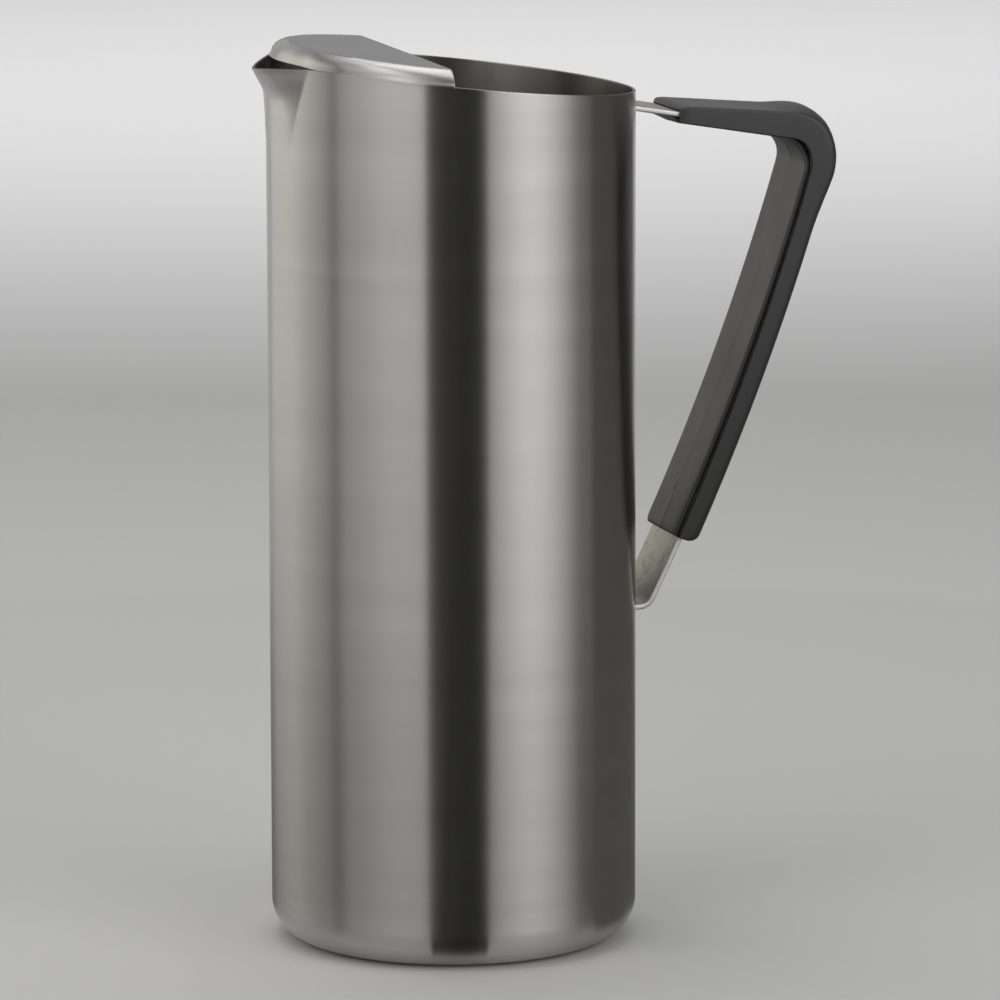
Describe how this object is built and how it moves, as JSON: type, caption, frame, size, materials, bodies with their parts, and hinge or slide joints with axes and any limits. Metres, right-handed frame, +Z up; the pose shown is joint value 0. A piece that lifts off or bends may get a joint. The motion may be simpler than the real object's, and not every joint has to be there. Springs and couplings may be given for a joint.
{
  "type": "water pitcher",
  "caption": "Tall brushed-steel water pitcher: a straight tube with a slanted rim, V spout, ice guard over the mouth and a steel strap handle in a plastic grip.",
  "frame": {"origin": "centre of the base's underside, on the surface that the pitcher stands on", "axes": "+Z up along the tube's axis, +X towards the handle, -X towards the spout, -Y the near side in the picture"},
  "size_m": [0.1705, 0.104, 0.2565],
  "materials": {
    "brushed_steel": "fine circumferential brush",
    "satin_steel": "satin, smoother than the body",
    "strap_steel": "ground strip steel",
    "grip_plastic": "fine moulded texture, dark grey"
  },
  "bodies": {
    "root": {"body_shell": "brushed_steel", "base_cap": "brushed_steel", "ice_guard": "satin_steel", "handle_strap": "strap_steel", "grip_outer": "grip_plastic", "grip_inner": "grip_plastic"}
  },
  "joints": []
}
